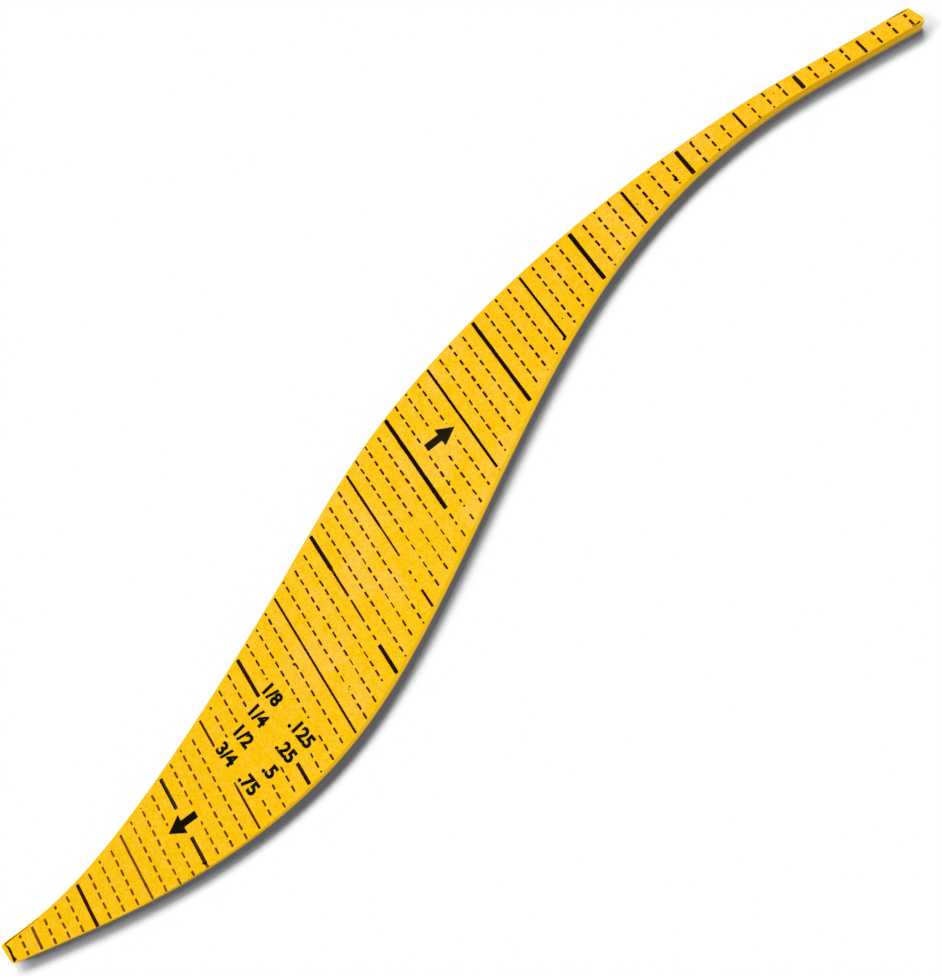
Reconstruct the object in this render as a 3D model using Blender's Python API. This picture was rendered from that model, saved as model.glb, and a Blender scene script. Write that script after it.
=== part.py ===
"""An armhole curve ruler: a flat S-shaped plastic blade with graduations and two arrows printed on its face.

Metres, +Z up. X runs across the graduation lines and Y along them. The origin is below the middle of the
blade, on the surface that the blade rests on.
"""

import math

import bpy
import numpy as np

# The graduation: inch lines stand a true inch apart, and the other lines an eighth of that
INCH_SPACING = 0.0254
EIGHTHS_TO_AN_INCH = 8
EIGHTH_SPACING = INCH_SPACING / EIGHTHS_TO_AN_INCH

# The blade. Its length is measured between its corners before they are rounded. The corner radii are those
# of the flat face, and the rounded rim goes round them
BLADE_LENGTH = 0.24795
BLADE_SPAN = 0.0594
BLADE_THICKNESS = 0.0025
END_TILT = math.radians(9)
EDGE_ROUNDING = 0.00035
LEFT_TOP_RADIUS = 0.0002
LEFT_LOW_RADIUS = 0.001
RIGHT_TOP_RADIUS = 0.0002
RIGHT_LOW_RADIUS = 0.0003

# Stations of the two long edges. Each has its share of the length from the left end, then the heights of the
# low edge and of the top edge as shares of the span
EDGE_STATION_SHARES = (
    (0.00, 0.130, 0.203),
    (0.05, 0.086, 0.208),
    (0.12, 0.033, 0.262),
    (0.22, 0.000, 0.399),
    (0.34, 0.067, 0.605),
    (0.46, 0.285, 0.820),
    (0.58, 0.556, 0.944),
    (0.70, 0.781, 0.996),
    (0.80, 0.880, 0.995),
    (0.88, 0.889, 0.967),
    (0.94, 0.856, 0.927),
    (1.00, 0.815, 0.888),
)

# How closely the outline and its roundings follow their curves
EDGE_STEP = 0.003
CORNER_STEPS = 5
EDGE_ROUNDING_STEPS = 2
STROKE_END_STEPS = 3

# The print, which is films of ink on the blade's face. The line at zero is at a whole inch
INK_THICKNESS = 0.00005
INCH_STROKE = 0.00072
HALF_INCH_STROKE = 0.00037
FIRST_STROKE = 0.00045
STROKE_END_ROUNDING = 0.00012
SHORTEST_STROKE = 0.0007
FIRST_LINE_FROM_LEFT = 0.0014
EIGHTHS_BEFORE_ZERO = 6
RIGHT_END_CLEARANCE = 0.001

# The gap between a line's end and the blade's edge, and how many times it opens at places along the length
PRINT_MARGIN = 0.00045
TOP_MARGIN_SHARES = ((0.00, 1.4), (0.13, 2.1), (0.50, 0.5), (0.60, 1.0), (1.00, 1.4))
LOW_MARGIN_SHARES = ((0.00, 0.7), (0.20, 0.7), (0.35, 1.0), (0.55, 2.3), (0.60, 2.1), (0.70, 0.8), (1.0, 0.7))

# The arrows, which point to the two ends. A height share here is counted from the low edge to the top edge
ARROW_LENGTH = 0.0069
ARROW_HEAD_LENGTH = 0.0034
ARROW_HEAD_WIDTH = 0.0037
ARROW_SHAFT_WIDTH = 0.00138
ARROW_CLEARANCE = 0.00125
LEFT_ARROW_EIGHTHS = 7.9
LEFT_ARROW_HEIGHT_SHARE = 0.478
RIGHT_ARROW_EIGHTHS = 34.2
RIGHT_ARROW_HEIGHT_SHARE = 0.568

# A bare place, turned a little, that the lines stop short of. Across the lines it is this many eighths deep
BARE_PLACE_LENGTH = 0.0126
BARE_PLACE_DEPTH_EIGHTHS = 5.4
BARE_PLACE_CLEARANCE = 0.0009
BARE_PLACE_TILT = math.radians(9.7)
BARE_PLACE_EIGHTHS = 14.9
BARE_PLACE_HEIGHT_SHARE = 0.446

# Lines that are worn away over a stretch, and one that is worn thin, as shares of the line from its top end
WORN_STRETCH_SHARES = {24: (0.447, 0.802), 28: (0.625, 0.876), 32: (0.762, 1.0)}
THIN_STRETCH_SHARES = {24: (0.253, 0.447)}

PLASTIC_YELLOW = (0.94, 0.56, 0.014, 1.0)
PLASTIC_ROUGHNESS = 0.42
INK_BLACK = (0.010, 0.007, 0.004, 1.0)
INK_ROUGHNESS = 0.5

WELD_DISTANCE = 0.000005


def clear_scene():
    for obj in list(bpy.data.objects):
        bpy.data.objects.remove(obj, do_unlink=True)


def material(name, colour, roughness):
    made = bpy.data.materials.new(name)
    made.use_nodes = True
    shader = made.node_tree.nodes["Principled BSDF"]
    shader.inputs["Base Color"].default_value = colour
    shader.inputs["Roughness"].default_value = roughness
    shader.inputs["Metallic"].default_value = 0.0
    made.diffuse_color = colour
    return made


class SmoothCurve:
    """The cubic through its stations whose bending changes smoothly and fades to nothing at both ends."""

    def __init__(self, places, values):
        self.places = places
        self.values = values
        gaps = np.diff(places)
        slopes = np.diff(values) / gaps
        rows = np.eye(len(places))
        turns = np.zeros(len(places))
        for i in range(1, len(places) - 1):
            rows[i, i - 1 : i + 2] = gaps[i - 1], 2 * (gaps[i - 1] + gaps[i]), gaps[i]
            turns[i] = 6 * (slopes[i] - slopes[i - 1])
        self.bends = np.linalg.solve(rows, turns)

    def at(self, place):
        i = int(np.clip(np.searchsorted(self.places, place) - 1, 0, len(self.places) - 2))
        gap = self.places[i + 1] - self.places[i]
        first = (self.places[i + 1] - place) / gap
        second = 1 - first
        straight = first * self.values[i] + second * self.values[i + 1]
        bow = (first**3 - first) * self.bends[i] + (second**3 - second) * self.bends[i + 1]
        return straight + bow * gap**2 / 6


class Outline:
    """The blade's two long edges, stretched to fill its length and its span."""

    def __init__(self):
        stations = np.array(EDGE_STATION_SHARES)
        self.low = SmoothCurve(stations[:, 0], stations[:, 1])
        self.top = SmoothCurve(stations[:, 0], stations[:, 2])
        places = np.linspace(0, 1, 500)
        self.lowest = min(self.low.at(place) for place in places)
        self.highest = max(self.top.at(place) for place in places)

    def y(self, edge, x):
        share = (edge.at(x / BLADE_LENGTH + 0.5) - self.lowest) / (self.highest - self.lowest)
        return (share - 0.5) * BLADE_SPAN

    def on(self, edge, x):
        return x, self.y(edge, x)

    def between(self, x, share):
        """The height at a share of the way from the low edge to the top edge."""
        low, top = self.y(self.low, x), self.y(self.top, x)
        return low + (top - low) * share

    def corners(self):
        """The left low, right low, right top and left top corners. Both ends lean, foot to the right."""
        half, lean = BLADE_LENGTH / 2, math.tan(END_TILT)
        left_top, right_low = self.on(self.top, -half), self.on(self.low, half)
        left = -half + lean * (left_top[1] - self.y(self.low, -half))
        right = half - lean * (self.y(self.top, half) - right_low[1])
        return self.on(self.low, left), right_low, self.on(self.top, right), left_top

    def points(self):
        """The outline, anticlockwise from the left end's low corner."""
        left_low, right_low, right_top, left_top = self.corners()
        low_left, low_right = self.beside_corners(self.low, left_low, right_low)
        top_left, top_right = self.beside_corners(self.top, left_top, right_top)
        start = rim_corner(left_top, left_low, low_left, LEFT_LOW_RADIUS)
        right = rim_corner(low_right, right_low, right_top, RIGHT_LOW_RADIUS)
        over = rim_corner(right_low, right_top, top_right, RIGHT_TOP_RADIUS)
        finish = rim_corner(top_left, left_top, left_low, LEFT_TOP_RADIUS)
        low = self.run(self.low, start[-1][0], right[0][0])
        top = self.run(self.top, finish[0][0], over[-1][0])
        return start + low + right + over + top[::-1] + finish

    def beside_corners(self, edge, left, right):
        """The edge's points one step in from its two corners."""
        return self.on(edge, left[0] + EDGE_STEP), self.on(edge, right[0] - EDGE_STEP)

    def run(self, edge, left, right):
        """An edge's points between two corners, without its ends."""
        steps = max(2, round((right - left) / EDGE_STEP))
        return [self.on(edge, x) for x in np.linspace(left, right, steps + 1)[1:-1]]


def rounded_corner(before, corner, after, radius, steps):
    """Points of the arc that replaces a corner."""
    corner = np.array(corner)
    to_before, to_after = np.array(before) - corner, np.array(after) - corner
    to_before /= np.linalg.norm(to_before)
    to_after /= np.linalg.norm(to_after)
    half_angle = math.acos(float(to_before @ to_after)) / 2
    inwards = (to_before + to_after) / np.linalg.norm(to_before + to_after)
    centre = corner + inwards * radius / math.sin(half_angle)
    start = corner + to_before * radius / math.tan(half_angle) - centre
    end = corner + to_after * radius / math.tan(half_angle) - centre
    first = math.atan2(start[1], start[0])
    sweep = math.atan2(end[1], end[0]) - first
    sweep = (sweep + math.pi) % (2 * math.pi) - math.pi
    angles = [first + sweep * i / steps for i in range(steps + 1)]
    return [(centre[0] + radius * math.cos(a), centre[1] + radius * math.sin(a)) for a in angles]


def rim_corner(before, corner, after, face_radius):
    """Points of the blade's rim round a corner of its flat face."""
    return rounded_corner(before, corner, after, face_radius + EDGE_ROUNDING, CORNER_STEPS)


def flat_piece(name, points, thickness, look, parent, collection, rounding=0.0):
    """A closed flat outline with a thickness and rounded rims. Its underside is on the parent's plane."""
    curve = bpy.data.curves.new(name, "CURVE")
    curve.dimensions = "2D"
    curve.fill_mode = "BOTH"
    curve.extrude = thickness / 2 - rounding
    curve.bevel_depth = rounding
    curve.bevel_resolution = EDGE_ROUNDING_STEPS - 1
    curve.offset = -rounding
    spline = curve.splines.new("POLY")
    spline.points.add(len(points) - 1)
    for point, (x, y) in zip(spline.points, points):
        point.co = (x, y, 0, 1)
    spline.use_cyclic_u = True
    curve.materials.append(look)
    piece = bpy.data.objects.new(name, curve)
    piece.location = (0, 0, thickness / 2)
    piece.parent = parent
    collection.objects.link(piece)
    weld = piece.modifiers.new("Weld caps", "WELD")
    weld.merge_threshold = WELD_DISTANCE


def line_x(eighths):
    """Where a graduation line lies, counted in eighths of an inch from the line at zero."""
    return FIRST_LINE_FROM_LEFT - BLADE_LENGTH / 2 + (EIGHTHS_BEFORE_ZERO + eighths) * EIGHTH_SPACING


def margin(x, shares):
    places, times = zip(*shares)
    return PRINT_MARGIN * float(np.interp(x / BLADE_LENGTH + 0.5, places, times))


def line_ends(outline, x):
    top = outline.y(outline.top, x) - margin(x, TOP_MARGIN_SHARES)
    low = outline.y(outline.low, x) + margin(x, LOW_MARGIN_SHARES)
    return top, low


def arrow_centre(outline, eighths, height_share):
    x = line_x(eighths)
    return x, outline.between(x, height_share)


def arrow_gap(centre, x):
    """The stretch of the line at x that an arrow's head breaks, top first, or None."""
    neck = ARROW_LENGTH / 2 - ARROW_HEAD_LENGTH
    if abs(x - centre[0]) > neck + ARROW_CLEARANCE:
        return None
    half = ARROW_HEAD_WIDTH / 2 + ARROW_CLEARANCE
    return centre[1] + half, centre[1] - half


def bare_place_gap(centre, x):
    """The stretch of the line at x that the turned bare place breaks, top first, or None."""
    half_length = BARE_PLACE_LENGTH / 2 + BARE_PLACE_CLEARANCE
    half_depth = BARE_PLACE_DEPTH_EIGHTHS * EIGHTH_SPACING / 2 + BARE_PLACE_CLEARANCE
    across = x - centre[0]
    sine, cosine = math.sin(BARE_PLACE_TILT), math.cos(BARE_PLACE_TILT)
    top = min((half_length + across * sine) / cosine, (half_depth - across * cosine) / sine)
    low = max((across * sine - half_length) / cosine, (-half_depth - across * cosine) / sine)
    return (centre[1] + top, centre[1] + low) if top > low else None


def gaps_of(outline, x):
    left = arrow_centre(outline, LEFT_ARROW_EIGHTHS, LEFT_ARROW_HEIGHT_SHARE)
    right = arrow_centre(outline, RIGHT_ARROW_EIGHTHS, RIGHT_ARROW_HEIGHT_SHARE)
    bare = arrow_centre(outline, BARE_PLACE_EIGHTHS, BARE_PLACE_HEIGHT_SHARE)
    return [gap for gap in (arrow_gap(left, x), arrow_gap(right, x), bare_place_gap(bare, x)) if gap]


def without(stretches, gap):
    """The stretches, each top first, with the gap cut out of them."""
    kept = []
    for top, low in stretches:
        kept.append((top, min(top, max(low, gap[0]))))
        kept.append((max(low, min(top, gap[1])), low))
    return kept


def line_strokes(outline, eighths, width):
    """The printed stretches of one line from the top edge down, each with its top, its foot and its width."""
    x = line_x(eighths)
    top, low = line_ends(outline, x)
    thin = [top + (low - top) * share for share in THIN_STRETCH_SHARES.get(eighths, ())]
    worn = [top + (low - top) * share for share in WORN_STRETCH_SHARES.get(eighths, ())]
    stretches = [(top, low)]
    for gap in gaps_of(outline, x) + [gap for gap in (thin, worn) if gap]:
        stretches = without(stretches, gap)
    strokes = [(top, low, width) for top, low in stretches]
    if thin:
        strokes.append((thin[0], thin[1], HALF_INCH_STROKE))
    strokes = [stroke for stroke in strokes if stroke[0] - stroke[1] > SHORTEST_STROKE]
    return sorted(strokes, reverse=True)


def stroke_points(x, top, low, width):
    """A stroke's outline, a long rectangle with its corners rounded."""
    left, right = x - width / 2, x + width / 2
    corners = [(left, low), (right, low), (right, top), (left, top)]
    radius = min(STROKE_END_ROUNDING, width / 3)
    points = []
    for i, corner in enumerate(corners):
        after = corners[(i + 1) % len(corners)]
        points += rounded_corner(corners[i - 1], corner, after, radius, STROKE_END_STEPS)
    return points


def add_line(outline, name, eighths, width, look, parent, collection):
    endings = {1: [""], 2: ["_upper", "_lower"], 3: ["_upper", "_neck", "_lower"]}
    strokes = line_strokes(outline, eighths, width)
    for (top, low, stroke_width), ending in zip(strokes, endings[len(strokes)]):
        points = stroke_points(line_x(eighths), top, low, stroke_width)
        flat_piece(name + ending, points, INK_THICKNESS, look, parent, collection)


def add_lines(outline, look, parent, collection):
    """The unbroken lines: the first one of all, then one at every half inch and one at every inch."""
    half_inch = EIGHTHS_TO_AN_INCH // 2
    room = BLADE_LENGTH / 2 - RIGHT_END_CLEARANCE - line_x(0)
    first_half, last_half = -(EIGHTHS_BEFORE_ZERO // half_inch), math.floor(room / EIGHTH_SPACING) // half_inch
    style = (look, parent, collection)
    add_line(outline, "first_line", -EIGHTHS_BEFORE_ZERO, FIRST_STROKE, *style)
    for number, halves in enumerate(range(first_half, last_half + 1)):
        if halves % 2:
            name, width = f"half_inch_line_{number // 2}", HALF_INCH_STROKE
        else:
            name, width = f"inch_line_{halves // 2}", INCH_STROKE
        add_line(outline, name, halves * half_inch, width, *style)


def arrow_points(centre, way):
    """An arrow that points to +X where way is 1, and to -X where it is -1."""
    tip, neck, tail = ARROW_LENGTH / 2, ARROW_LENGTH / 2 - ARROW_HEAD_LENGTH, -ARROW_LENGTH / 2
    shaft, head = ARROW_SHAFT_WIDTH / 2, ARROW_HEAD_WIDTH / 2
    upper = [(tail, shaft), (neck, shaft), (neck, head)]
    lower = [(x, -y) for x, y in reversed(upper)]
    return [(centre[0] + way * x, centre[1] + way * y) for x, y in upper + [(tip, 0)] + lower]


def add_arrows(outline, look, parent, collection):
    arrows = (
        ("arrow_left", LEFT_ARROW_EIGHTHS, LEFT_ARROW_HEIGHT_SHARE, -1),
        ("arrow_right", RIGHT_ARROW_EIGHTHS, RIGHT_ARROW_HEIGHT_SHARE, 1),
    )
    for name, eighths, height_share, way in arrows:
        points = arrow_points(arrow_centre(outline, eighths, height_share), way)
        flat_piece(name, points, INK_THICKNESS, look, parent, collection)


def main():
    clear_scene()
    collection = bpy.data.collections.new("Armhole curve ruler")
    bpy.context.scene.collection.children.link(collection)
    yellow = material("Yellow moulded plastic", PLASTIC_YELLOW, PLASTIC_ROUGHNESS)
    ink = material("Black printing ink", INK_BLACK, INK_ROUGHNESS)

    ruler = bpy.data.objects.new("ruler_frame", None)
    face = bpy.data.objects.new("printed_face", None)
    face.parent = ruler
    face.location = (0, 0, BLADE_THICKNESS)
    for empty in (ruler, face):
        collection.objects.link(empty)

    outline = Outline()
    flat_piece("ruler_blade", outline.points(), BLADE_THICKNESS, yellow, ruler, collection, EDGE_ROUNDING)
    add_lines(outline, ink, face, collection)
    add_arrows(outline, ink, face, collection)


main()
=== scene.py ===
"""An armhole curve ruler of yellow moulded plastic, lying on a white studio floor."""

import math
import random

import bmesh
import bpy
from mathutils import Matrix, Vector


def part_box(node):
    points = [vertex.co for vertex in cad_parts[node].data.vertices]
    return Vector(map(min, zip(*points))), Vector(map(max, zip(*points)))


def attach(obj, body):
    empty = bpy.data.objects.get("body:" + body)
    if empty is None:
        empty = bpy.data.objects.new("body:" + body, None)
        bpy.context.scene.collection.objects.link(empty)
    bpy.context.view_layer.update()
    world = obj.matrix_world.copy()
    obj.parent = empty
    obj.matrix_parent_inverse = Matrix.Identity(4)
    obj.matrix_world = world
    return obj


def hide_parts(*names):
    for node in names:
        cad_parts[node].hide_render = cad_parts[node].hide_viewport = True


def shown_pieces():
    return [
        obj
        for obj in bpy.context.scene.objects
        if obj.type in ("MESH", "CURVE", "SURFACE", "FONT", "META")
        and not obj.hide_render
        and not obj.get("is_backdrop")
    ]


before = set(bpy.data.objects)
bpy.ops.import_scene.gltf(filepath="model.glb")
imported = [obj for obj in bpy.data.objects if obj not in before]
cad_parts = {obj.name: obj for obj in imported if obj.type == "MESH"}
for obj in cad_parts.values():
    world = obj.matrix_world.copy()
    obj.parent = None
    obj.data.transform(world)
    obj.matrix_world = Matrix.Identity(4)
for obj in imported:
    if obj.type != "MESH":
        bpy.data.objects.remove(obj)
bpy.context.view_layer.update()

# Lengths are in millimetres throughout, and a finished piece is brought to metres. Points nearer to each other
# than the weld's length become one
MM = 0.001
WELD = 0.005
# The body that every piece rides on
BODY = "root"

# The camera: its place, its turn in degrees, its lens, and how near it still sees
CAMERA_PLACE = (20.11323, -53.55665, 174.65028)
CAMERA_TURN = (10.96505, 14.08492, -34.83814)
CAMERA_LENS = 35.041
CAMERA_NEAREST = 10

# The wide soft light behind the blade, in four parts: each part's bearing from +Y towards +X, its height in
# degrees, and its share of the light that reaches the floor. Then the width of each part in degrees, and the
# room's own share
KEY_LIGHTS = ((-60, 36, 0.185), (-28, 42.5, 0.175), (2, 43, 0.265), (29, 41.5, 0.265))
KEY_LIGHT_WIDTH = 18
ROOM_LIGHT = 0.113

# The long low lamp in front of the blade, which lights its walls and leaves the floor as it is
FILL_SIZE = (1200, 100)
FILL_POWER = 7.0
FILL_DIRECTION = (0.74, -0.67, 0.0)
FILL_DISTANCE = 900
FILL_HEIGHT = 52

# The floor
FLOOR_REACH = 8000
FLOOR_TINT = (0.8, 0.8, 0.8)
WHITE = (1.0, 1.0, 1.0)

# The graduation. The line at zero is a whole inch
EIGHTH = 3.175
LINE_ZERO_X = -103.525
FIRST_EIGHTH, LAST_EIGHTH = -5, 71
EIGHTHS_TO_HALF_INCH = 4

# The blade. A face is level where its normal is nearly upright
FACE_Z = 2.5
PACKED_ROUNDING = 0.35
EDGE_ROUNDING = 0.2
ROUNDING_STEPS = 4
OUTLINE_STEPS = 4
LEVEL = 0.999

# The plastic's tints along the blade, with painted light in them: brighter in the middle and darker towards both
# ends, as a near lamp falls off. The first, then each later one after the two places where its fade starts and ends
PLASTIC_TINTS_WITH_PAINTED_FALLOFF = (
    (0.93, 0.522, 0.001), (-110, -10, (0.945, 0.548, 0.007)), (5, 45, (0.937, 0.530, 0.002)),
    (40, 100, (0.937, 0.518, 0.005)),
)
# Its grain, speckle and patches: their size, detail and roughness, and how far the colour goes with them
MOTTLING = (
    (0.3, 1.0, 0.5, (0.26, 0.31, 0.05)), (0.75, 2.0, 0.6, (0.08, 0.12, 0.06)), (2.7, 2.0, 0.5, (0.03, 0.06, 0.07)),
)
# Its pale clouds: their size, the noise where they start and are full, the places where they start and thin out
# along the blade, how much they thin out, and how far the colour goes with them
CLOUD_SIZE = 9.0
CLOUD_EDGE = (0.5, 0.64)
CLOUD_START, CLOUD_THINNING = (-60, -35), (15, 50)
CLOUD_LOSS = 0.3
CLOUD_CHANGE = (0.005, 0.012, 0.028)
# Its wall, coloured with painted shade: darker towards the right end, under the rim at the right end and at the
# foot.
# The tints of the top, middle and foot, each at the left and at the right end, the places between which they turn
# from one to the other, the heights between which the middle and the foot take over, those between which the face
# does, and the wall's share of the colour below them
WALL_PAINTED_SHADE = (
    ((0.91, 0.51, 0.0), (0.62, 0.305, 0.0)),
    ((0.92, 0.535, 0.008), (0.76, 0.415, 0.012)),
    ((0.68, 0.40, 0.045), (0.58, 0.345, 0.06)),
)
WALL_TURN = (45, 115)
WALL_MIDDLE, WALL_FOOT = (2.3, 1.6), (1.3, 0.2)
WALL_END = (2.28, 2.46)
WALL_SHARE = 0.9
# Its painted highlight along the rounded rim: its tint, the heights where it starts and ends, and the places between
# which it fades
RIM_PAINTED_HIGHLIGHT = (1.0, 0.58, 0.004)
RIM_START, RIM_END = (2.34, 2.4), (2.475, 2.499)
RIM_FADE = (50, 90)
# Its roughness, and how much of it the speckle adds, its gloss, and the depth of its bumps
PLASTIC_ROUGHNESS, SPECKLE_ROUGHNESS = 0.44, 0.12
PLASTIC_GLOSS = 0.03
PLASTIC_BUMPS = 0.02
BUMP_STRENGTH = 0.2

# The inks, in the same way as the plastic's tints
INCH_TINTS = (
    (0.04, 0.009, 0.0), (-70, -25, (0.018, 0.006, 0.0)), (-20, 0, (0.011, 0.003, 0.0)),
    (60, 95, (0.034, 0.012, 0.0)),
)
HALF_INCH_TINTS = (
    (0.20, 0.065, 0.0), (-84, -54, (0.042, 0.006, 0.0)), (-20, 5, (0.014, 0.002, 0.0)),
    (65, 85, (0.045, 0.006, 0.0)),
)
DASH_TINTS = (
    (0.20, 0.065, 0.0), (-80, -50, (0.07, 0.013, 0.0)), (-10, 30, (0.055, 0.006, 0.0)),
    (70, 95, (0.085, 0.014, 0.0)),
)
WORN_INCH_TINTS = ((0.012, 0.004, 0.0),)
ARROW_TINTS = ((0.006, 0.005, 0.0015), (-60, -10, (0.016, 0.012, 0.0035)))
# Dark patches in every ink: their size, the noise where they start and are full, their share and their tint
INK_PATCH_SIZE = 0.7
INK_PATCH_EDGE = (0.4, 0.75)
INK_PATCH_SHARE = 0.5
INK_PATCH_TINT = (0.006, 0.003, 0.0003)
# The worn middle of inch line 1: its place, its share, its tint, and the squares of the distances from the
# middle between which it ends
WORN_INCH_X = -78.12
WORN_INCH_SHARE = 0.7
WORN_INCH_TINT = (0.07, 0.04, 0.0)
WORN_INCH_EDGE = (0.008, 0.05)
# The inks' grain, roughness, gloss and bumps
INK_GRAIN = 0.2
INK_ROUGHNESS, GRAIN_ROUGHNESS = 0.5, 0.15
INK_GLOSS = 0.005
INK_BUMPS = 0.01

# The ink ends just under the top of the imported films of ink, and its foot is a little below the face
INK_TOP = 2.549
INK_FOOT = 2.49

# The dashes of an eighth line step down the lines in slanting rows
DASH_LENGTH = 1.34
DASH_PITCH = 2.075
DASH_START = 8.122
DASH_SLANT = 0.532
SHORTEST_DASH = 0.28
# How far a dash varies: its width by a share, its ends and its lean
DASH_WIDTH_CHANGE, DASH_END_CHANGE, DASH_LEAN = 0.07, 0.04, 0.015
# A dash's rounded end: its length, and the shares of the width at its tip and its shoulder
DASH_END = 0.1
DASH_TIP, DASH_SHOULDER = 0.68, 0.95
DASH_SEED = 1000

# How far a stroke varies: its width by a share, and its middle. The rows of points down it are a step apart
STROKE_WIDTH_CHANGE, STROKE_SWAY = 0.03, 0.009
STROKE_STEP = 1.3
# A stroke's rounded end: its length as a share of the width, the place of its shoulder as a share of that length,
# and the shares of the width at its tip and its shoulder
STROKE_END = 0.25
STROKE_SHOULDER_AT = 0.4
STROKE_TIP, STROKE_SHOULDER = 0.72, 0.92

# How the print drifts off its even spacing: the line, its shift along the blade and up it, and its lean
PRINT_DRIFT = (
    (-6, 0.22, 0, -0.018), (-4, 0.12, 0, -0.0165), (-2, 0.025, 0, -0.012), (0, -0.077, 0, -0.011),
    (4, -0.13, 0, -0.0087), (7, -0.093, 0, -0.007), (8, -0.105, 0, -0.0055), (11, -0.037, 0, -0.004),
    (14, 0.022, 0, -0.002), (16, 0.045, 0, 0), (18, 0.106, 0, 0.0005), (20, 0.148, 0, 0.0016),
    (22, 0.208, 0, 0.0023), (24, 0.21, 0, 0.0018), (28, 0.175, 0, 0.0027), (32, 0.095, 0, 0.0032),
    (36, -0.024, -0.05, 0.0057), (38, -0.07, -0.08, 0.0072), (40, -0.13, -0.1, 0.0095),
    (44, -0.204, -0.1, 0.0125), (48, -0.17, 0, 0.015), (50, -0.154, 0.02, 0.018), (52, -0.098, 0.05, 0.019),
    (54, -0.022, 0.1, 0.021), (56, 0.0, 0.15, 0.022), (60, 0.085, 0.15, 0.02), (64, 0.115, 0.05, 0.022),
    (68, 0.02, 0.1, 0.018), (71, -0.13, 0.1, 0.02),
)

# How wide the print is: the line, then its width
DASH_WIDTHS = (
    (-5, 0.57), (-3, 0.48), (-1, 0.43), (3, 0.43), (11, 0.42), (15, 0.39), (18, 0.38), (25, 0.41), (32, 0.43),
    (37, 0.37), (38, 0.46), (39, 0.38), (42, 0.43), (48, 0.46), (51, 0.43), (52, 0.47), (53, 0.49), (54, 0.47),
    (58, 0.45), (61, 0.36), (65, 0.43), (69, 0.42), (71, 0.46),
)
HALF_INCH_WIDTHS = (
    (-4, 0.58), (4, 0.50), (12, 0.49), (20, 0.46), (28, 0.53), (36, 0.55), (44, 0.50), (52, 0.57), (60, 0.51),
    (68, 0.52),
)
INCH_WIDTHS = (
    (0, 0.74), (8, 0.77), (16, 0.77), (24, 0.81), (32, 0.86), (40, 0.78), (48, 0.88), (56, 0.86), (64, 0.74),
)

# Gaps between the dashed lines and the blade's two edges: the line, then the gap at the top and the gap at the foot
MARGINS = (
    (-6, 0.7, 0.4), (-4, 0.7, 0.3), (0, 0.75, 0.1), (4, 0.95, 0.0), (8, 0.75, 0.0), (12, 0.7, 0.4),
    (16, 0.55, 0.5), (20, 0.5, 0.4), (24, 0.3, 0.3), (28, 0.35, 0.5), (32, 0.2, 0.75), (36, 0.3, 1.08),
    (40, 0.45, 0.97), (44, 0.45, 0.6), (48, 0.45, 0.3), (52, 0.45, 0.3), (56, 0.5, 0.1), (60, 0.45, 0.25),
    (64, 0.5, 0.25), (68, 0.65, 0.2), (72, 0.7, 0.2),
)

# Stretches of the dashed lines that are bare: the line, then the top and foot of the stretch
BARE_STRETCHES = (
    (-2, -24.6, -25.0), (7, -18.3, -22.0), (9, -17.8, -21.4), (9, -29.1, -29.5), (13, -4.9, -5.7),
    (13, -11.3, -25.2), (14, -10.1, -23.9), (15, -8.7, -22.1), (17, -7.0, -23.4), (18, 2.85, 2.6),
    (18, -14.3, -14.7), (18, -17.8, -21.6), (21, -16.8, -18.4), (22, 8.6, 8.2), (22, -3.0, -3.4),
    (23, 10.1, 9.7), (23, -20.5, -21.6), (26, -17.4, -18.1), (29, -4.3, -5.2), (30, 14.5, 14.1),
    (30, 1.1, -0.5), (31, 20.4, 20.0), (33, 12.9, 9.6), (33, -0.44, -1.09), (33, -2.84, -3.79),
    (34, 14.6, 7.2), (35, 13.7, 8.8), (38, 22.7, 22.3), (43, 26.3, 25.9), (45, 28.4, 28.0),
    (45, 13.35, 12.7), (46, 17.6, 17.2), (46, 14.8, 14.4), (47, 28.9, 28.5), (47, 16.1, 15.5),
    (50, 28.8, 28.4), (50, 19.1, 18.7), (53, 21.4, 21.0), (54, 29.2, 28.95), (55, 22.9, 22.3),
    (59, 28.7, 28.0), (61, 27.7, 27.45), (71, 22.7, 22.4),
)

# Stretches where the dashes are thin: the line, then the top and foot of the stretch
THIN_STRETCHES = (
    (21, -14.6, -16.4), (22, -12.8, -17.2), (23, 7.0, 5.4), (23, -5.6, -7.2), (23, -11.5, -15.6),
    (25, -12.3, -14.1), (26, 1.4, -0.4), (26, -6.8, -12.9), (27, -5.9, -11.3), (29, -0.2, -8.2),
    (30, 19.6, 18.0), (30, 1.3, -8.9), (31, 0.3, -7.1),
)
THIN_DASH = 0.66

# Short marks beside the dashes: the line, then the top and foot of the mark
SHORT_MARKS = (
    (10, -27.8, -28.1), (33, 2.7, 2.4), (34, 7.2, 6.1), (37, 4.45, 4.15), (37, 24.45, 24.15),
    (39, 15.05, 14.75), (42, 21.65, 21.35), (43, 10.7, 10.4), (43, 27.45, 27.15), (49, 23.05, 22.75),
    (49, 28.55, 28.25), (53, 25.15, 24.85), (53, 25.9, 25.6), (54, 22.55, 22.25), (55, 24.85, 23.7),
    (57, 28.55, 28.25), (62, 23.75, 23.45), (66, 23.65, 23.35), (67, 23.15, 22.85), (70, 21.6, 21.3),
)

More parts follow.
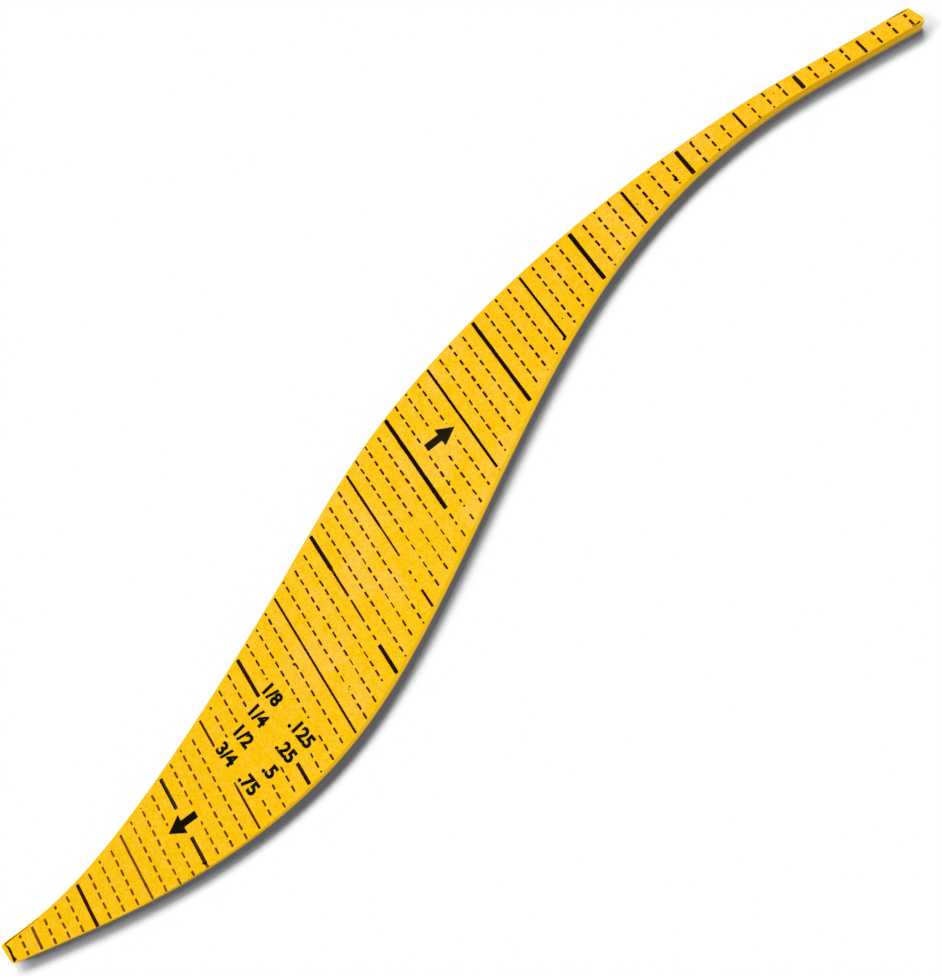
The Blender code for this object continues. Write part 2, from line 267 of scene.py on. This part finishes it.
# How far a stroke's top and foot lie above the ends of its solid
STROKE_TRIMS = {
    "half_inch_line_0": (-0.11, 0.10), "half_inch_line_1": (-0.07, -0.11),
    "half_inch_line_2_upper": (-0.09, -0.50), "half_inch_line_2_lower": (-0.40, 0.08),
    "half_inch_line_3": (-0.05, -0.03), "half_inch_line_4_upper": (-0.12, -0.19),
    "half_inch_line_4_lower": (-0.21, -0.21), "half_inch_line_5": (-0.09, 0.10),
    "half_inch_line_6": (-0.15, -0.01), "half_inch_line_7": (-0.10, 0.01), "half_inch_line_8": (-0.11, -0.02),
    "half_inch_line_9": (-0.13, -0.05), "inch_line_0": (0.07, -0.26), "inch_line_1_upper": (-0.02, -0.03),
    "inch_line_1_lower": (0.07, 0.45), "inch_line_2_upper": (0.02, -0.07), "inch_line_2_lower": (-0.27, 0.15),
    "inch_line_3_upper": (-0.11, -0.20), "inch_line_3_neck": (-0.10, -0.29), "inch_line_3_lower": (-0.21, -0.26),
    "inch_line_4": (-0.15, -0.19), "inch_line_5": (-0.12, 0.02), "inch_line_6": (-0.15, -0.03),
    "inch_line_7": (-0.08, -0.11), "inch_line_8": (-0.06, 0.01),
}
# The half-inch line that fades in: the share of its width at its top, and what each millimetre down adds
FADED_LINE, FADED_TOP, FADED_GAIN = "half_inch_line_2_lower", 0.35, 0.45
# The half-inch line that is thin below a height: that height, and the share of its width there
THINNED_LINE, THINNED_BELOW, THINNED_SHARE = "half_inch_line_4_upper", 3.7, 0.7

# The line at the left end and stray ink, as x, y and width along each mark. The line's wide foot and the two marks
# along the top edge are partly painted shadow and shade
FIRST_LINE_PATH = (
    (-122.92, -17.95, 0.1), (-122.78, -18.5, 0.2), (-122.5, -18.95, 0.46), (-122.42, -20.0, 0.54),
    # The wide last row is the ink blob at the foot, widened over painted shadow beside the tip's corner
    (-122.46, -20.6, 0.42), (-122.42, -21.2, 0.58), (-122.3, -21.95, 0.86),
)
STRAY_MARKS = {
    # Along the top edge at the left end: partly ink and partly painted shade of the rounded edge, thinning out along
    # it
    "top_edge_mark": (
        (-122.85, -17.98, 0.18), (-122.2, -17.96, 0.26), (-121.5, -17.93, 0.2), (-120.0, -17.9, 0.12),
        (-118.0, -17.9, 0.08), (-116.0, -17.86, 0.06), (-114.2, -17.8, 0.03),
    ),
    # Along the top edge at the right end: partly ink and partly painted shade of the rounded edge
    "right_edge_mark": ((119.4, 23.5, 0.03), (120.6, 23.28, 0.1), (121.8, 23.05, 0.12), (122.7, 22.85, 0.04)),
    "right_tip_mark": ((121.3, 19.5, 0.1), (121.9, 19.35, 0.18), (122.5, 19.32, 0.32), (122.95, 19.42, 0.24)),
    "half_inch_6_hook": ((35.98, 12.4, 0.2), (35.75, 12.12, 0.42), (35.5, 12.12, 0.42), (35.3, 12.2, 0.26)),
    "inch_1_bulge": ((-78.35, -28.0, 0.5), (-78.6, -28.15, 0.36), (-78.82, -28.25, 0.2)),
    "inch_1_hook": ((-78.22, -28.4, 0.6), (-78.12, -28.85, 0.5), (-78.1, -29.05, 0.66), (-78.1, -29.3, 0.6)),
}
STRAY_SEED = 77

# What is left of three inch and half-inch lines past their ends: the line, then the top and foot of each dash
WORN_DASHES = (
    (24, -4.1, -9.2), (24, -10.1, -11.2), (24, -12.3, -13.3), (28, -6.4, -7.2), (28, -8.3, -9.1),
    (32, -2.2, -3.4), (32, -4.1, -4.8), (32, -6.1, -7.6),
)
WORN_WIDTH = 0.4

# Specks of ink: their place and size. They have a few sides and vary by a share of their size
SPECKS = (
    (-76.7, -14.8, 0.22), (37.65, 15.6, 0.26), (-36.3, -17.55, 0.3), (-36.75, -17.9, 0.2), (96.7, 25.1, 0.4),
    (1.7, 2.95, 0.3), (35.66, 11.8, 0.34), (35.4, 11.98, 0.5), (70.85, 24.2, 0.72), (77.8, 28.4, 0.3),
    (29.5, 9.05, 0.24), (-84.7, -12.35, 0.26), (-43.35, -7.6, 0.55), (60.5, 20.6, 0.24), (95.1, 25.9, 0.22),
    (62.4, 24.9, 0.26), (71.1, 24.3, 0.36), (1.35, 2.75, 0.42), (-81.3, -22.6, 0.24), (7.7, 12.85, 0.2),
    (7.65, 9.6, 0.22), (10.8, -1.1, 0.24), (105.3, 22.2, 0.32),
)
SPECK_SIDES = 8
SPECK_CHANGE = 0.07

# The arrows: the node, 1 where it points to +X and -1 where to -X, its shifts towards its tip and towards +Y, half
# its shaft's width, and how much wider its head is than its solid's on each side. Its corners are blunt and vary
ARROWS = (("arrow_left", -1, 0.15, 0.04, 0.7, 0.13), ("arrow_right", 1, 0.05, 0.0, 0.75, 0.15))
ARROW_HEAD_LENGTH = 3.5
ARROW_CORNER, ARROW_CORNER_STEPS = 0.07, 2
ARROW_CHANGE = 0.02

# Plain figures, four fractions and the same as decimals, in four rows: the ends of each row's foot, and its two
# figures. Then what stands for two of their signs in the names of their pieces
FIGURE_ROWS = (
    ((-51.6, -8.2), (-49.8, -22.4), "1/8", ".125"),
    ((-56.2, -9.9), (-54.3, -22.6), "1/4", ".25"),
    ((-60.8, -11.4), (-59.1, -22.9), "1/2", ".5"),
    ((-65.6, -11.9), (-63.9, -23.4), "3/4", ".75"),
)
FIGURE_NAMES = {"/": "_", ".": "point_"}
FIGURE_HEIGHT = 2.75
FIGURE_NARROWING = 0.95
FIGURE_BOLDNESS = 0.04
FIGURE_STEPS = 5


class Field:
    """A number, a colour or a place that changes over a surface. It is one socket of one node."""

    def __init__(self, look, socket):
        self.look, self.socket = look, socket

    def maths(self, operation, first, second):
        return self.look.node("ShaderNodeMath", {"operation": operation}, {0: first, 1: second})

    def __add__(self, other):
        return self.maths("ADD", self, other)

    def __sub__(self, other):
        return self.maths("SUBTRACT", self, other)

    def __rsub__(self, other):
        return self.maths("SUBTRACT", other, self)

    def __mul__(self, other):
        return self.maths("MULTIPLY", self, other)

    __radd__, __rmul__ = __add__, __mul__

    def other(self, name):
        """Another output of the same node."""
        return Field(self.look, self.socket.node.outputs[name])


class Look:
    """The nodes of a material or of the world, added one at a time."""

    def __init__(self, owner, ending):
        owner.use_nodes = True
        self.owner, self.tree = owner, owner.node_tree
        self.ending = self.tree.nodes[ending]

    def node(self, kind, settings, sockets, output=0):
        made = self.tree.nodes.new(kind)
        for setting, value in settings.items():
            setattr(made, setting, value)
        self.feed(made, sockets)
        return Field(self, made.outputs[output])

    def feed(self, node, sockets):
        for socket, value in sockets.items():
            if isinstance(value, Field):
                self.tree.links.new(value.socket, node.inputs[socket])
            else:
                node.inputs[socket].default_value = value

    def finish(self, sockets):
        self.feed(self.ending, sockets)
        return self.owner

    def place(self):
        """Where a point is on the object, in millimetres."""
        inside = self.node("ShaderNodeTexCoord", {}, {}, "Object")
        return self.node("ShaderNodeMapping", {}, {"Vector": inside, "Scale": (1 / MM,) * 3})

    def noise(self, place, size, detail=2.0, roughness=0.5):
        """Soft random patches of a size."""
        sockets = {"Vector": place, "Scale": 1 / size, "Detail": detail, "Roughness": roughness}
        return self.node("ShaderNodeTexNoise", {}, sockets)

    def step(self, value, low, high):
        """A soft step from 0, at low, to 1, at high."""
        return self.node("ShaderNodeMapRange", {"interpolation_type": "SMOOTHSTEP"}, {0: value, 1: low, 2: high})

    def mix(self, share, first, second):
        """The first colour, with the second in its place by a share."""
        # The node's colours go by number, because its sockets for plain numbers have the same names
        sockets = {0: share, 6: first, 7: second}
        return self.node("ShaderNodeMix", {"data_type": "RGBA"}, sockets, 2)

    def vary(self, body, noise, change):
        """A colour that goes up and down by a change as the noise does."""
        return self.node("ShaderNodeVectorMath", {"operation": "MULTIPLY_ADD"}, {0: noise - 0.5, 1: change, 2: body})

    def tints(self, x, first, *later):
        """The first tint, with each later one fading in along the blade."""
        body = colour(*first)
        for start, end, tint in later:
            body = self.mix(self.step(x, start, end), body, colour(*tint))
        return body

    def bumps(self, height, depth):
        """The normal of a surface with shallow bumps."""
        return self.node("ShaderNodeBump", {}, {"Strength": BUMP_STRENGTH, "Distance": depth * MM, "Height": height})

    def seen(self):
        """1 where something is looked at, and 0 where it only gives light."""
        path = self.node("ShaderNodeLightPath", {}, {}, "Is Camera Ray")
        return path + path.other("Is Glossy Ray") + path.other("Is Transmission Ray")


def material(name):
    return Look(bpy.data.materials.new(name), "Principled BSDF")


def colour(red, green, blue):
    return red, green, blue, 1.0


def moulded_plastic():
    """Satin yellow plastic, mottled on its face, with painted light along the blade, painted shade on its wall and a
    painted highlight on its rim.
    """
    look = material("Yellow moulded plastic")
    place = look.place()
    x = look.node("ShaderNodeSeparateXYZ", {}, {0: place})
    height = x.other("Z")
    grain, speckle, patches = [look.noise(place, size, detail, rough) for size, detail, rough, _ in MOTTLING]
    cloud = look.noise(place, CLOUD_SIZE)
    # The tints along the blade hold painted light, brighter in the middle than at the ends
    body = look.tints(x, *PLASTIC_TINTS_WITH_PAINTED_FALLOFF)
    for noise, (*_, change) in zip((grain, speckle, patches), MOTTLING):
        body = look.vary(body, noise, change)
    pale = look.step(x, *CLOUD_START) * (1 - look.step(x, *CLOUD_THINNING) * CLOUD_LOSS)
    body = look.vary(body, 0.5 + look.step(cloud, *CLOUD_EDGE) * pale, CLOUD_CHANGE)
    # The wall's tints are painted shade, darker towards the right end, under the rim there and at the foot
    right = look.step(x, *WALL_TURN)
    top, middle, foot = [look.mix(right, colour(*near), colour(*far)) for near, far in WALL_PAINTED_SHADE]
    wall = look.mix(look.step(height, *WALL_MIDDLE), top, middle)
    wall = look.mix(look.step(height, *WALL_FOOT), wall, foot)
    body = look.mix((1 - look.step(height, *WALL_END)) * WALL_SHARE, body, wall)
    # A painted highlight along the rim, fading out towards the right
    painted_rim_highlight = look.step(height, *RIM_START) * (1 - look.step(height, *RIM_END)) * (1 - look.step(x, *RIM_FADE))
    body = look.mix(painted_rim_highlight, body, colour(*RIM_PAINTED_HIGHLIGHT))
    return look.finish({
        "Base Color": body, "Roughness": PLASTIC_ROUGHNESS + speckle * SPECKLE_ROUGHNESS,
        "Normal": look.bumps(speckle * 0.5 + grain * 0.5, PLASTIC_BUMPS), "Specular IOR Level": PLASTIC_GLOSS,
    })


def printing_ink(name, tints, worn_x=None):
    """Dry ink, brown where it lies thin, and worn in the middle of a line where its place is given."""
    look = material(name)
    place = look.place()
    x = look.node("ShaderNodeSeparateXYZ", {}, {0: place})
    body = look.tints(x, *tints)
    patches = look.step(look.noise(place, INK_PATCH_SIZE), *INK_PATCH_EDGE)
    body = look.mix(patches * INK_PATCH_SHARE, body, colour(*INK_PATCH_TINT))
    if worn_x is not None:
        across = x - worn_x
        kept = look.step(across * across, *WORN_INCH_EDGE)
        body = look.mix(WORN_INCH_SHARE - kept * WORN_INCH_SHARE, body, colour(*WORN_INCH_TINT))
    grain = look.noise(place, INK_GRAIN)
    return look.finish({
        "Base Color": body, "Roughness": INK_ROUGHNESS + grain * GRAIN_ROUGHNESS,
        "Normal": look.bumps(grain, INK_BUMPS), "Specular IOR Level": INK_GLOSS,
    })


def finish_piece(piece, nodes=()):
    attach(piece, BODY)
    if nodes:
        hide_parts(*nodes)
    return piece


def piece_of(name, made, look):
    """An object in metres, at the origin, from a bmesh in millimetres."""
    bmesh.ops.recalc_face_normals(made, faces=made.faces)
    mesh = bpy.data.meshes.new(name)
    made.to_mesh(mesh)
    made.free()
    mesh.transform(Matrix.Diagonal((MM, MM, MM, 1)))
    mesh.materials.append(look)
    piece = bpy.data.objects.new(name, mesh)
    bpy.context.scene.collection.objects.link(piece)
    return piece


def mesh_of_curve(curve, turn):
    """The bmesh that a curve or a text makes, turned and put in its place."""
    holder = bpy.data.objects.new(curve.name, curve)
    bpy.context.scene.collection.objects.link(holder)
    seen = holder.evaluated_get(bpy.context.evaluated_depsgraph_get())
    mesh = bpy.data.meshes.new_from_object(seen)
    mesh.transform(turn)
    made = bmesh.new()
    made.from_mesh(mesh)
    bpy.data.objects.remove(holder)
    bpy.data.meshes.remove(mesh)
    bpy.data.curves.remove(curve)
    return made


def blade_outline():
    """The points round the blade's upright wall, in order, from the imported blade."""
    made = bmesh.new()
    made.from_mesh(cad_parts["ruler_blade"].data)
    bmesh.ops.transform(made, matrix=Matrix.Diagonal((1 / MM, 1 / MM, 1 / MM, 1)), verts=made.verts)
    bmesh.ops.remove_doubles(made, verts=made.verts, dist=WELD)
    wall = FACE_Z - PACKED_ROUNDING
    around = [v for v in made.verts if abs(v.co.z - wall) < WELD]
    here, path = around[0], []
    while here is not None:
        path.append(here)
        beside = [e.other_vert(here) for e in here.link_edges]
        here = next((v for v in beside if v in around and v not in path), None)
    points = [(v.co.x, v.co.y) for v in path]
    made.free()
    return points


def between(stations, eighths):
    """The values at a line, between those of the stations on its two sides."""
    for first, last in zip(stations, stations[1:]):
        if eighths <= last[0]:
            break
    share = min(1, max(0, (eighths - first[0]) / (last[0] - first[0])))
    return [a + (b - a) * share for a, b in zip(first[1:], last[1:])]


class Edges:
    """The blade's two long edges, and the lines between them."""

    def __init__(self, outline):
        self.sides = list(zip(outline, outline[1:] + outline[:1]))

    def at(self, x):
        """The low edge and the top edge at a place along the blade."""
        crossings = []
        for (x0, y0), (x1, y1) in self.sides:
            if (x0 - x) * (x1 - x) <= 0 and x0 != x1:
                crossings.append(y0 + (y1 - y0) * (x - x0) / (x1 - x0))
        return min(crossings), max(crossings)

    def line_at(self, eighths, y):
        """Where along the blade a line's ink lies, at a place on its way down."""
        shift, _, lean = between(PRINT_DRIFT, eighths)
        x = LINE_ZERO_X + eighths * EIGHTH + shift
        low, top = self.at(x)
        return x + lean * (y - (low + top) / 2)


def add_blade(outline, look):
    """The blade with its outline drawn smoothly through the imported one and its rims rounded."""
    curve = bpy.data.curves.new("blade_outline", "CURVE")
    curve.dimensions, curve.fill_mode = "2D", "BOTH"
    curve.extrude, curve.offset = FACE_Z / 2 - EDGE_ROUNDING, -EDGE_ROUNDING
    curve.bevel_depth, curve.bevel_resolution = EDGE_ROUNDING, ROUNDING_STEPS
    curve.resolution_u = OUTLINE_STEPS
    spline = curve.splines.new("BEZIER")
    spline.bezier_points.add(len(outline) - 1)
    for point, (x, y) in zip(spline.bezier_points, outline):
        point.co = (x, y, 0)
        point.handle_left_type = point.handle_right_type = "AUTO"
    spline.use_cyclic_u = True
    made = mesh_of_curve(curve, Matrix.Translation((0, 0, FACE_Z / 2)))
    bmesh.ops.remove_doubles(made, verts=made.verts, dist=WELD)
    for face in made.faces:
        face.normal_update()
        face.smooth = abs(face.normal.z) < LEVEL
    blade = finish_piece(piece_of("moulded_blade", made, look), ["ruler_blade"])
    # The white floor beside the blade takes no yellow from it
    blade.visible_diffuse = False


def thicken(film, faces):
    """Gives flat faces at the ink's foot the ink's thickness."""
    grown = bmesh.ops.extrude_face_region(film, geom=faces)
    raised = [v for v in grown["geom"] if isinstance(v, bmesh.types.BMVert)]
    bmesh.ops.translate(film, verts=raised, vec=(0, 0, INK_TOP - INK_FOOT))


def faces_round(corners):
    """The faces that touch some corners, once each and in a fixed order."""
    return list(dict.fromkeys(face for corner in corners for face in corner.link_faces))


def lay_ribbon(film, rows):
    """A closed strip of ink along rows of x, y and width, made from a grid one wide and one long."""
    steps = len(rows) - 1
    corners = bmesh.ops.create_grid(film, x_segments=1, y_segments=steps, size=0.5)["verts"]
    for corner in corners:
        i = round((0.5 - corner.co.y) * steps)
        before, after = rows[max(0, i - 1)], rows[min(steps, i + 1)]
        along = Vector((after[0] - before[0], after[1] - before[1])).normalized()
        x, y, width = rows[i]
        reach = width * corner.co.x
        corner.co = (x - along.y * reach, y + along.x * reach, INK_FOOT)
    thicken(film, faces_round(corners))


def add_ribbon(name, rows, look, nodes=()):
    """A piece of one strip of ink."""
    film = bmesh.new()
    lay_ribbon(film, rows)
    finish_piece(piece_of(name, film, look), nodes)


def stroke_rows(draw, top, foot, width):
    """A stroke down a line, with rounded ends and small changes along it. Its x is its shift off the line."""
    end = min(width * STROKE_END, (top - foot) / 4)
    inner = max(1, round((top - foot - 2 * end) / STROKE_STEP))
    tip, shoulder = width * STROKE_TIP, width * STROKE_SHOULDER
    rows = [(0, top, tip), (0, top - end * STROKE_SHOULDER_AT, shoulder)]
    for i in range(inner + 1):
        y = top - end - (top - foot - 2 * end) * i / inner
        rows.append((draw.gauss(0, STROKE_SWAY), y, width * (1 + draw.gauss(0, STROKE_WIDTH_CHANGE))))
    return rows + [(0, foot + end * STROKE_SHOULDER_AT, shoulder), (0, foot, tip)]


def node_box(node):
    low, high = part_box(node)
    return low / MM, high / MM


def add_solid_lines(edges, inch_ink, half_inch_ink, worn_ink):
    """Every inch and half-inch line, each stroke in the place of its solid, and the line at the left end."""
    for number, (node, (top_trim, foot_trim)) in enumerate(sorted(STROKE_TRIMS.items())):
        low, high = node_box(node)
        eighths = round(((low.x + high.x) / 2 - LINE_ZERO_X) / EIGHTH)
        bold = node.startswith("inch_line") and not node.endswith("neck")
        width = between(INCH_WIDTHS if bold else HALF_INCH_WIDTHS, eighths)[0]
        rows = stroke_rows(random.Random(number), high.y + top_trim, low.y + foot_trim, width)
        rows = [(edges.line_at(eighths, y) + shift, y, across) for shift, y, across in rows]
        if node == FADED_LINE:
            rows = [(x, y, across * min(1, FADED_TOP + FADED_GAIN * (high.y - y))) for x, y, across in rows]
        if node == THINNED_LINE:
            rows = [(x, y, across * (1 if y > THINNED_BELOW else THINNED_SHARE)) for x, y, across in rows]
        ink = worn_ink if node.startswith("inch_line_1") else inch_ink if bold else half_inch_ink
        add_ribbon("printed_" + node, rows, ink, [node])
    add_ribbon("printed_first_line", FIRST_LINE_PATH, inch_ink, ["first_line"])


def dashes_of(edges, eighths):
    """The dashes of one line, each its top and its foot."""
    low, top = edges.at(edges.line_at(eighths, 0))
    top_margin, low_margin = between(MARGINS, eighths)
    start = DASH_START - DASH_SLANT * eighths + between(PRINT_DRIFT, eighths)[1]
    top, low = top - top_margin, low + low_margin
    first, last = math.floor((low - start) / DASH_PITCH) - 1, math.ceil((top - start) / DASH_PITCH) + 1
    middles = [start + number * DASH_PITCH for number in range(first, last + 1)]
    dashes = [(min(top, y + DASH_LENGTH / 2), max(low, y - DASH_LENGTH / 2)) for y in middles]
    for line, bare_top, bare_foot in BARE_STRETCHES:
        if line == eighths:
            above = [(high, max(foot, bare_top)) for high, foot in dashes]
            dashes = above + [(min(high, bare_foot), foot) for high, foot in dashes]
    dashes = [(high, foot) for high, foot in dashes if high - foot > SHORTEST_DASH]
    return sorted(dashes, reverse=True) + [mark[1:] for mark in SHORT_MARKS if mark[0] == eighths]


def dash_rows(draw, x, top, foot, width):
    """A dash of five rows, narrow at both ends."""
    width *= 1 + draw.gauss(0, DASH_WIDTH_CHANGE)
    top, foot = top + draw.gauss(0, DASH_END_CHANGE), foot + draw.gauss(0, DASH_END_CHANGE)
    end = min(DASH_END, (top - foot) / 3)
    lean = draw.gauss(0, DASH_LEAN)
    return [
        (x + lean, top, width * DASH_TIP),
        (x + lean, top - end, width * DASH_SHOULDER),
        (x, (top + foot) / 2, width),
        (x - lean, foot + end, width * DASH_SHOULDER),
        (x - lean, foot, width * DASH_TIP),
    ]


def add_dashed_lines(edges, look):
    """Every dashed line, a piece each."""
    lines = [eighths for eighths in range(FIRST_EIGHTH, LAST_EIGHTH + 1) if eighths % EIGHTHS_TO_HALF_INCH]
    for number, eighths in enumerate(lines, 1):
        draw = random.Random(DASH_SEED + eighths)
        width = between(DASH_WIDTHS, eighths)[0]
        film = bmesh.new()
        for top, foot in dashes_of(edges, eighths):
            middle = (top + foot) / 2
            thin = any(line == eighths and high > middle > low for line, high, low in THIN_STRETCHES)
            across = width * (THIN_DASH if thin else 1)
            lay_ribbon(film, dash_rows(draw, edges.line_at(eighths, middle), top, foot, across))
        finish_piece(piece_of(f"dashed_line_{number:02d}", film, look))


def add_strays(edges, look):
    """The worn dashes past the ends of lines, the short stray strokes and the specks."""
    draw = random.Random(STRAY_SEED)
    film = bmesh.new()
    for eighths, top, foot in WORN_DASHES:
        lay_ribbon(film, dash_rows(draw, edges.line_at(eighths, top), top, foot, WORN_WIDTH))
    finish_piece(piece_of("worn_dashes", film, look))
    for name, rows in STRAY_MARKS.items():
        add_ribbon(name, rows, look)
    film = bmesh.new()
    for x, y, size in SPECKS:
        spot = Matrix.Translation((x, y, INK_FOOT))
        made = bmesh.ops.create_circle(film, cap_ends=True, segments=SPECK_SIDES, radius=size / 2, matrix=spot)
        for corner in made["verts"]:
            corner.co.xy += Vector((draw.gauss(0, size * SPECK_CHANGE), draw.gauss(0, size * SPECK_CHANGE)))
        thicken(film, faces_round(made["verts"]))
    finish_piece(piece_of("ink_specks", film, look))


def add_arrow(look, node, way, advance, rise, shaft, growth):
    """An arrow in its solid's place."""
    low, high = node_box(node)
    middle, half = (low + high) / 2, (high - low) / 2
    middle += Vector((way * advance, rise, 0))
    neck = half.x - ARROW_HEAD_LENGTH
    half.y += growth
    upper = [(-half.x, shaft), (neck, shaft), (neck, half.y)]
    lower = [(x, -y) for x, y in reversed(upper)]
    outline = upper + [(half.x, 0)] + lower
    film = bmesh.new()
    corners = [film.verts.new((middle.x + way * x, middle.y + y, INK_FOOT)) for x, y in outline]
    film.faces.new(corners)
    bmesh.ops.bevel(
        film, geom=corners, offset=ARROW_CORNER, offset_type="OFFSET", segments=ARROW_CORNER_STEPS, profile=0.5,
        affect="VERTICES", material=-1,
    )
    draw = random.Random(way)
    for corner in film.verts:
        corner.co.xy += Vector((draw.gauss(0, ARROW_CHANGE), draw.gauss(0, ARROW_CHANGE)))
    thicken(film, list(film.faces))
    finish_piece(piece_of("printed_" + node, film, look), [node])


def figure(text, start, end, at_end):
    """One figure on a row's foot line, at the row's start or against its end."""
    curve = bpy.data.curves.new("figure", "FONT")
    curve.body, curve.offset, curve.resolution_u = text, FIGURE_BOLDNESS, FIGURE_STEPS
    flat = mesh_of_curve(curve, Matrix.Identity(4))
    tall = max(v.co.y for v in flat.verts)
    left, right = min(v.co.x for v in flat.verts), max(v.co.x for v in flat.verts)
    size = FIGURE_HEIGHT / tall
    row = Vector((end[0] - start[0], end[1] - start[1]))
    shift = (row.length / (size * FIGURE_NARROWING) - right) if at_end else -left
    turn = Matrix.Translation((start[0], start[1], INK_FOOT))
    turn = turn @ Matrix.Rotation(math.atan2(row.y, row.x), 4, "Z")
    turn = turn @ Matrix.Diagonal((size * FIGURE_NARROWING, size, 1, 1)) @ Matrix.Translation((shift, 0, 0))
    bmesh.ops.transform(flat, matrix=turn, verts=flat.verts)
    bmesh.ops.remove_doubles(flat, verts=flat.verts, dist=WELD)
    thicken(flat, list(flat.faces))
    return flat


def add_figures(look):
    for start, end, first, second in FIGURE_ROWS:
        for text, at_end in ((first, False), (second, True)):
            made = figure(text, start, end, at_end)
            for sign, instead in FIGURE_NAMES.items():
                text = text.replace(sign, instead)
            finish_piece(piece_of("figure_" + text, made, look))


def add_floor():
    film = bmesh.new()
    bmesh.ops.create_grid(film, x_segments=1, y_segments=1, size=FLOOR_REACH)
    look = material("White studio floor")
    paper = look.mix(look.seen(), colour(*FLOOR_TINT), colour(*WHITE))
    look.finish({"Base Color": paper, "Roughness": 1.0, "Specular IOR Level": 0.0})
    floor = piece_of("studio_floor", film, look.owner)
    floor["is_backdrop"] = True


def add_key_lights():
    for number, (bearing, height, share) in enumerate(KEY_LIGHTS):
        key = bpy.data.lights.new(f"key_light_{number}", "SUN")
        key.energy, key.angle = share * math.pi / math.sin(math.radians(height)), math.radians(KEY_LIGHT_WIDTH)
        lamp = bpy.data.objects.new(key.name, key)
        lamp.rotation_euler = (math.radians(90 - height), 0, math.radians(180 - bearing))
        bpy.context.scene.collection.objects.link(lamp)


def add_fill_light():
    fill = bpy.data.lights.new("fill_light", "AREA")
    fill.shape, fill.energy = "RECTANGLE", FILL_POWER
    fill.size, fill.size_y = [length * MM for length in FILL_SIZE]
    lamp = bpy.data.objects.new("fill_light", fill)
    away = Vector(FILL_DIRECTION) * (FILL_DISTANCE * MM)
    lamp.location = away + Vector((0, 0, FILL_HEIGHT * MM))
    lamp.rotation_euler = away.to_track_quat("Z", "Y").to_euler()
    lamp.visible_camera = lamp.visible_glossy = False
    bpy.context.scene.collection.objects.link(lamp)
    lit = bpy.data.collections.new("Lit by the fill light")
    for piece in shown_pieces():
        lit.objects.link(piece)
    lamp.light_linking.receiver_collection = lit


def add_room():
    """The even light of a white room, which looks white itself."""
    world = bpy.data.worlds.new("Studio")
    bpy.context.scene.world = world
    look = Look(world, "Background")
    look.finish({"Color": colour(*WHITE), "Strength": ROOM_LIGHT + look.seen() * (1 - ROOM_LIGHT)})


def add_camera():
    camera = bpy.data.objects.new("camera", bpy.data.cameras.new("camera"))
    camera.data.lens = CAMERA_LENS
    camera.data.clip_start = CAMERA_NEAREST * MM
    camera.location = Vector(CAMERA_PLACE) * MM
    camera.rotation_euler = [math.radians(a) for a in CAMERA_TURN]
    bpy.context.scene.collection.objects.link(camera)
    bpy.context.scene.camera = camera


def main():
    yellow = moulded_plastic()
    inch_ink = printing_ink("Inch line ink", INCH_TINTS)
    half_inch_ink = printing_ink("Half-inch line ink", HALF_INCH_TINTS)
    dash_ink = printing_ink("Thin dash ink", DASH_TINTS)
    worn_ink = printing_ink("Worn line ink", WORN_INCH_TINTS, WORN_INCH_X)
    arrow_ink = printing_ink("Thick arrow ink", ARROW_TINTS)
    outline = blade_outline()
    edges = Edges(outline)
    add_blade(outline, yellow)
    add_solid_lines(edges, inch_ink, half_inch_ink, worn_ink)
    add_dashed_lines(edges, dash_ink)
    add_strays(edges, dash_ink)
    for arrow in ARROWS:
        add_arrow(arrow_ink, *arrow)
    add_figures(arrow_ink)
    add_floor()
    add_key_lights()
    add_fill_light()
    add_room()
    add_camera()
    bpy.context.scene.view_settings.view_transform = "Standard"


main()
